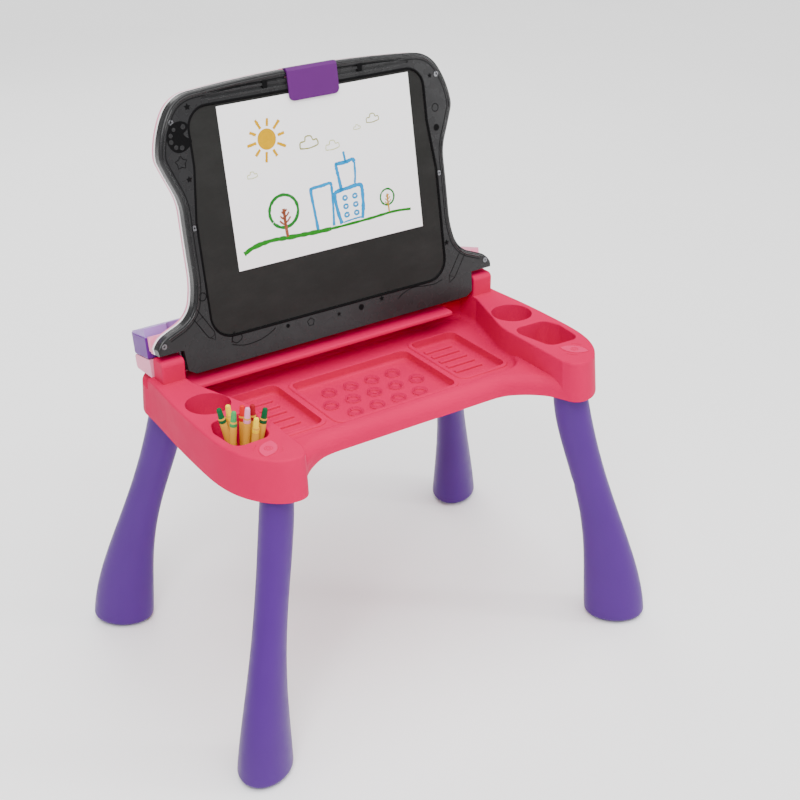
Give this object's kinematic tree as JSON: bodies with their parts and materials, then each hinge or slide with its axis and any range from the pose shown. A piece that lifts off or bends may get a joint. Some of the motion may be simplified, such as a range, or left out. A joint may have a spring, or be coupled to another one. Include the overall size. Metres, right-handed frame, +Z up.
{
  "type": "child learning desk with flip-up electronic desktop",
  "caption": "Child's desk on splayed legs with a storage tray and a hinged lid that is a chalkboard easel when open and an electronic desktop when closed.",
  "frame": {"origin": "on the floor at the middle of the box around the whole desk", "axes": "+Z up, +X to the right of a child at the desk, +Y away from the child"},
  "size_m": [0.6504, 0.4577, 0.7481],
  "materials": {
    "pink_tray": "satin moulded polypropylene, deep pink",
    "purple_leg": "satin moulded plastic, purple",
    "grey_rubber": "matte",
    "black_frame": "glossy black moulded plastic with fine relief",
    "chalkboard": "matte charcoal with faint chalk haze",
    "white_rim": "glossy white",
    "light_pink": "satin light pink moulded plastic",
    "steel": "bright zinc plated",
    "paper": "uncoated white paper with a crayon drawing",
    "card": "printed card",
    "purple_clip": "satin purple",
    "lilac": "satin lilac",
    "handset_purple": "satin purple",
    "clear_window": "clear acrylic",
    "circuit_board": "solder mask green",
    "led_dots": "red light dots on a dark board",
    "silicone": "matte translucent silicone",
    "cell_wrap": "printed sleeve",
    "speaker_black": "paper cone and steel basket",
    "key_yellow": "satin",
    "key_teal": "satin",
    "key_white": "satin",
    "key_green": "satin",
    "crayon_wax": "paper wrapped wax"
  },
  "bodies": {
    "base": {"tray": "pink_tray", "leg_front_right": "purple_leg", "leg_front_left": "purple_leg", "leg_rear_right": "purple_leg", "leg_rear_left": "purple_leg", "foot_pads": "grey_rubber", "lid_stops": "grey_rubber"},
    "lid": {"board_frame": "black_frame", "chalkboard": "chalkboard", "rim_band": "white_rim", "desktop_shell": "light_pink", "hinge_pins": "steel", "lid_screws": "steel", "activity_page": "card", "drawing_paper": "paper", "clip_pin": "steel", "clip_spring": "steel", "console_housing": "light_pink", "battery_door": "light_pink", "battery_cells": "cell_wrap", "battery_bay": "light_pink", "battery_contacts": "steel", "door_screw": "steel", "control_panel": "lilac", "display_window": "clear_window", "led_board": "led_dots", "key_membrane": "silicone", "main_circuit_board": "circuit_board", "speaker": "speaker_black", "speaker_grille": "lilac"},
    "clip": {"paper_clip": "purple_clip"},
    "handset": {"handset_body": "handset_purple", "handset_cap": "lilac"},
    "switch": {"power_switch": "key_white"},
    "crayons": {"crayons": "crayon_wax"},
    "number_key_0": {"number_key_0": "key_teal"},
    "number_key_1": {"number_key_1": "key_yellow"},
    "number_key_2": {"number_key_2": "key_teal"},
    "number_key_3": {"number_key_3": "key_yellow"},
    "number_key_4": {"number_key_4": "key_teal"},
    "number_key_5": {"number_key_5": "key_yellow"},
    "number_key_6": {"number_key_6": "key_teal"},
    "number_key_7": {"number_key_7": "key_yellow"},
    "number_key_8": {"number_key_8": "key_teal"},
    "number_key_9": {"number_key_9": "key_yellow"},
    "mode_button_1": {"mode_button_1": "key_green"},
    "mode_button_2": {"mode_button_2": "key_green"},
    "mode_button_3": {"mode_button_3": "key_green"},
    "music_key_1": {"music_key_1": "key_white"},
    "music_key_2": {"music_key_2": "key_white"},
    "music_key_3": {"music_key_3": "key_white"},
    "music_key_4": {"music_key_4": "key_white"},
    "music_key_5": {"music_key_5": "key_white"}
  },
  "joints": [
    {"name": "lid_hinge", "type": "hinge", "parent": "base", "child": "lid", "pos_m": [0, 0.0842, 0.418], "axis": [1, 0, 0], "range_deg": [0, 100.4]},
    {"name": "clip_pivot", "type": "hinge", "parent": "lid", "child": "clip", "pos_m": [0.005, 0.1362, 0.74011], "axis": [-1, 0, 0], "range_deg": [0, 24], "stiffness_Nm_per_rad": 0.25, "springref_deg": -20.05},
    {"name": "handset_lift", "type": "slide", "parent": "lid", "child": "handset", "axis": [0, 0.9836, -0.1805], "range_m": [0, 0.09]},
    {"name": "power_slide", "type": "slide", "parent": "lid", "child": "switch", "axis": [0, 0.3815, -0.9244], "range_m": [0, 0.0118]},
    {"name": "crayons_lift", "type": "slide", "parent": "base", "child": "crayons", "axis": [0, 0, 1], "range_m": [0, 0.11]},
    {"name": "number_key_0_press", "type": "slide", "parent": "lid", "child": "number_key_0", "axis": [0, -0.9244, -0.3815], "range_m": [0, 0.002], "stiffness_N_per_m": 400, "springref_m": -0.001},
    {"name": "number_key_1_press", "type": "slide", "parent": "lid", "child": "number_key_1", "axis": [0, -0.9244, -0.3815], "range_m": [0, 0.002], "stiffness_N_per_m": 400, "springref_m": -0.001},
    {"name": "number_key_2_press", "type": "slide", "parent": "lid", "child": "number_key_2", "axis": [0, -0.9244, -0.3815], "range_m": [0, 0.002], "stiffness_N_per_m": 400, "springref_m": -0.001},
    {"name": "number_key_3_press", "type": "slide", "parent": "lid", "child": "number_key_3", "axis": [0, -0.9244, -0.3815], "range_m": [0, 0.002], "stiffness_N_per_m": 400, "springref_m": -0.001},
    {"name": "number_key_4_press", "type": "slide", "parent": "lid", "child": "number_key_4", "axis": [0, -0.9244, -0.3815], "range_m": [0, 0.002], "stiffness_N_per_m": 400, "springref_m": -0.001},
    {"name": "number_key_5_press", "type": "slide", "parent": "lid", "child": "number_key_5", "axis": [0, -0.9244, -0.3815], "range_m": [0, 0.002], "stiffness_N_per_m": 400, "springref_m": -0.001},
    {"name": "number_key_6_press", "type": "slide", "parent": "lid", "child": "number_key_6", "axis": [0, -0.9244, -0.3815], "range_m": [0, 0.002], "stiffness_N_per_m": 400, "springref_m": -0.001},
    {"name": "number_key_7_press", "type": "slide", "parent": "lid", "child": "number_key_7", "axis": [0, -0.9244, -0.3815], "range_m": [0, 0.002], "stiffness_N_per_m": 400, "springref_m": -0.001},
    {"name": "number_key_8_press", "type": "slide", "parent": "lid", "child": "number_key_8", "axis": [0, -0.9244, -0.3815], "range_m": [0, 0.002], "stiffness_N_per_m": 400, "springref_m": -0.001},
    {"name": "number_key_9_press", "type": "slide", "parent": "lid", "child": "number_key_9", "axis": [0, -0.9244, -0.3815], "range_m": [0, 0.002], "stiffness_N_per_m": 400, "springref_m": -0.001},
    {"name": "mode_button_1_press", "type": "slide", "parent": "lid", "child": "mode_button_1", "axis": [0, -0.9244, -0.3815], "range_m": [0, 0.002], "stiffness_N_per_m": 400, "springref_m": -0.001},
    {"name": "mode_button_2_press", "type": "slide", "parent": "lid", "child": "mode_button_2", "axis": [0, -0.9244, -0.3815], "range_m": [0, 0.002], "stiffness_N_per_m": 400, "springref_m": -0.001},
    {"name": "mode_button_3_press", "type": "slide", "parent": "lid", "child": "mode_button_3", "axis": [0, -0.9244, -0.3815], "range_m": [0, 0.002], "stiffness_N_per_m": 400, "springref_m": -0.001},
    {"name": "music_key_1_press", "type": "slide", "parent": "lid", "child": "music_key_1", "axis": [0, -0.9244, -0.3815], "range_m": [0, 0.002], "stiffness_N_per_m": 400, "springref_m": -0.001},
    {"name": "music_key_2_press", "type": "slide", "parent": "lid", "child": "music_key_2", "axis": [0, -0.9244, -0.3815], "range_m": [0, 0.002], "stiffness_N_per_m": 400, "springref_m": -0.001},
    {"name": "music_key_3_press", "type": "slide", "parent": "lid", "child": "music_key_3", "axis": [0, -0.9244, -0.3815], "range_m": [0, 0.002], "stiffness_N_per_m": 400, "springref_m": -0.001},
    {"name": "music_key_4_press", "type": "slide", "parent": "lid", "child": "music_key_4", "axis": [0, -0.9244, -0.3815], "range_m": [0, 0.002], "stiffness_N_per_m": 400, "springref_m": -0.001},
    {"name": "music_key_5_press", "type": "slide", "parent": "lid", "child": "music_key_5", "axis": [0, -0.9244, -0.3815], "range_m": [0, 0.002], "stiffness_N_per_m": 400, "springref_m": -0.001}
  ]
}
